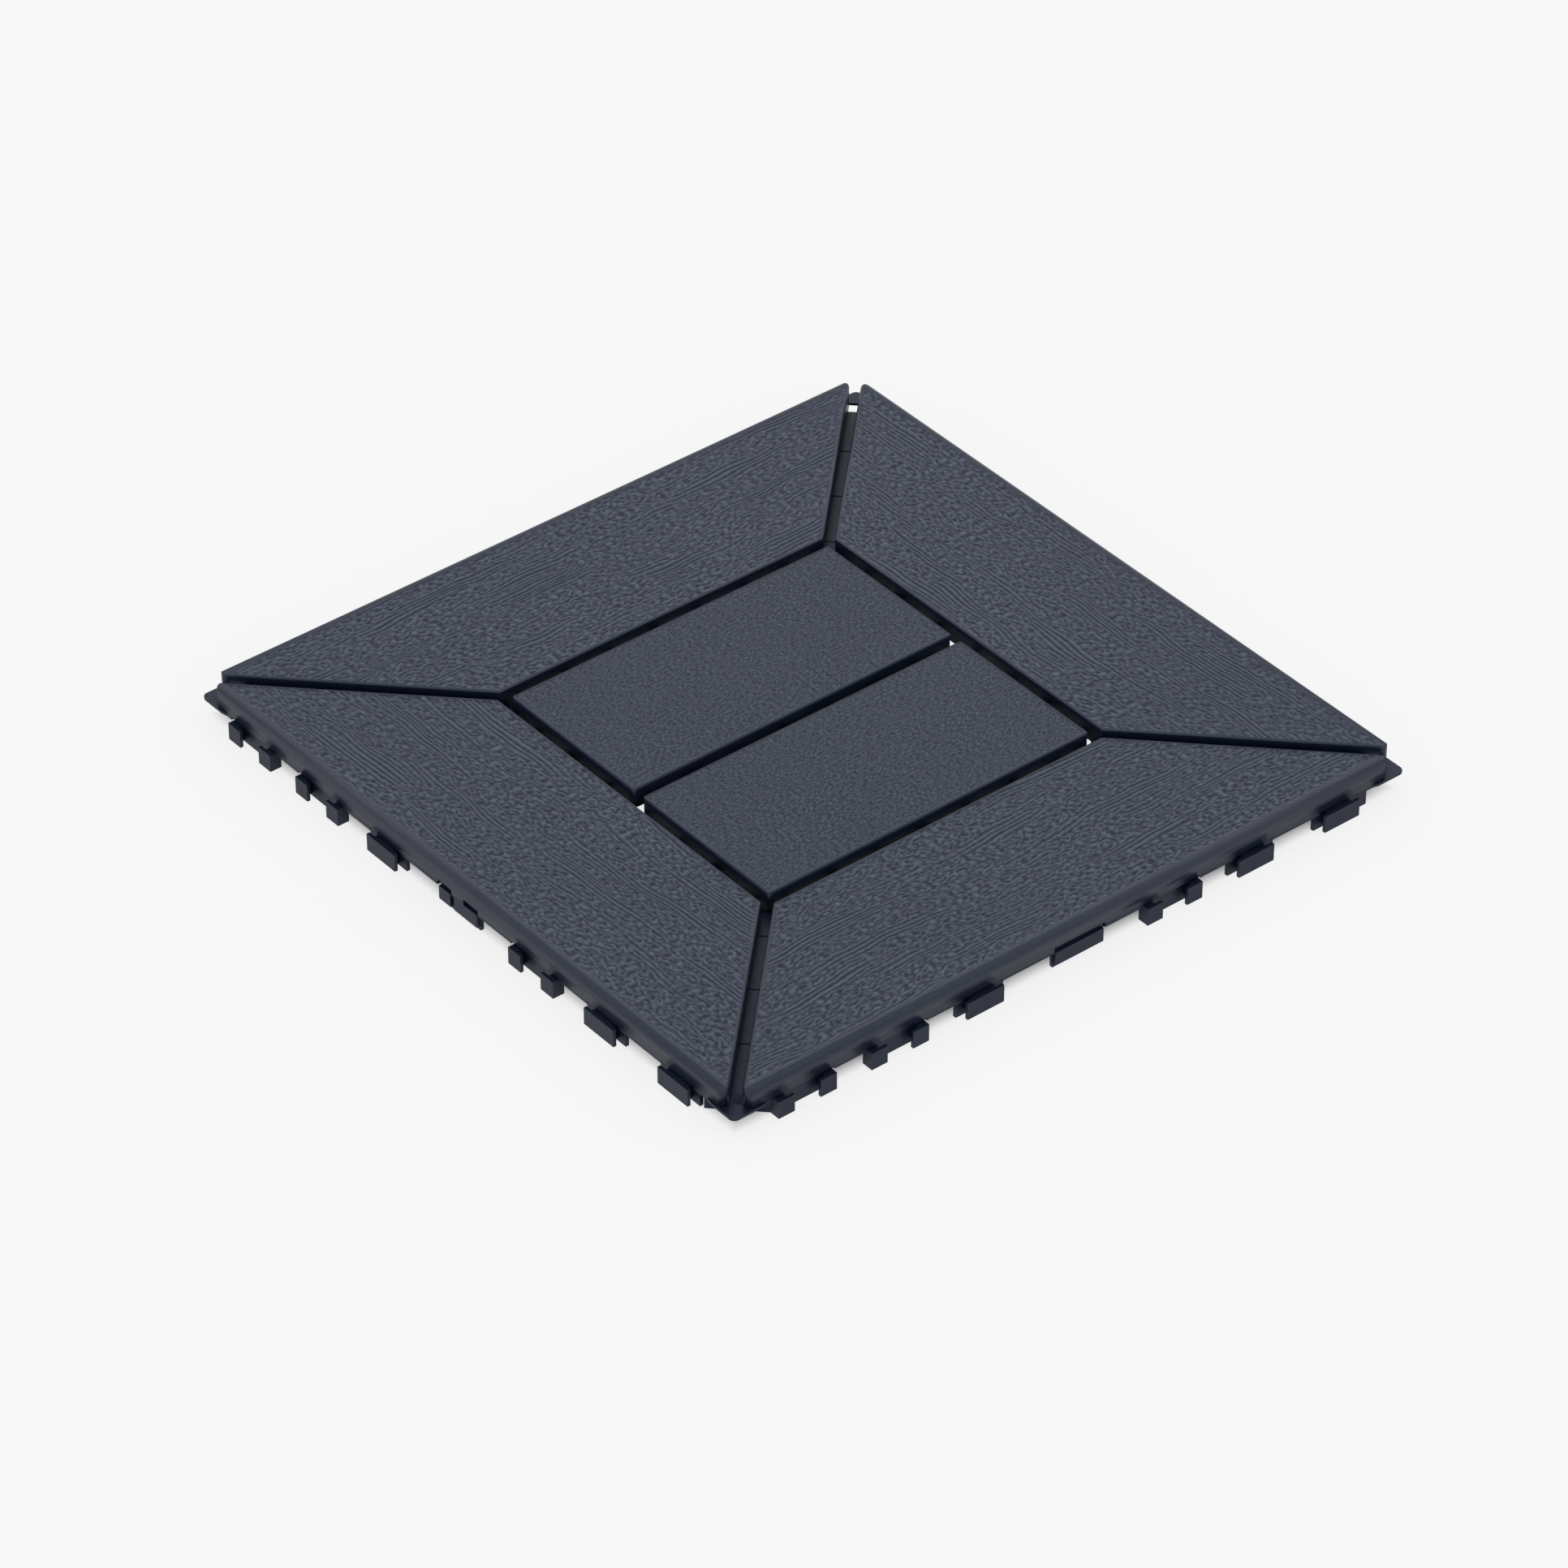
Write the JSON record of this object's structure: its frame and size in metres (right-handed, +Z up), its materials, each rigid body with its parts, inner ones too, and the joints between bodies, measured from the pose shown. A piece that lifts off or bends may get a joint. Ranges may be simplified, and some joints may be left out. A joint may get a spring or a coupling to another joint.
{
  "type": "interlocking deck tile",
  "caption": "Square interlocking deck tile: wood-look plastic boards in a mitred frame layout on an open grid base with edge hooks and sockets.",
  "frame": {"origin": "middle of the tile on the ground, under the middle of its bounding box", "axes": "+Z up out of the walking surface; +X along the front edge, which faces -Y; +Y along the left edge, which faces -X"},
  "size_m": [0.3026, 0.3026, 0.016],
  "materials": {
    "board_plastic": "dark slate grey moulded plastic with pressed wood grain, satin",
    "base_plastic": "dark slate grey moulded plastic, plain and matt"
  },
  "bodies": {
    "root": {"base_grid": "base_plastic", "frame_board_front": "board_plastic", "frame_board_right": "board_plastic", "frame_board_back": "board_plastic", "frame_board_left": "board_plastic", "inner_board_front": "board_plastic", "inner_board_back": "board_plastic"}
  },
  "joints": []
}
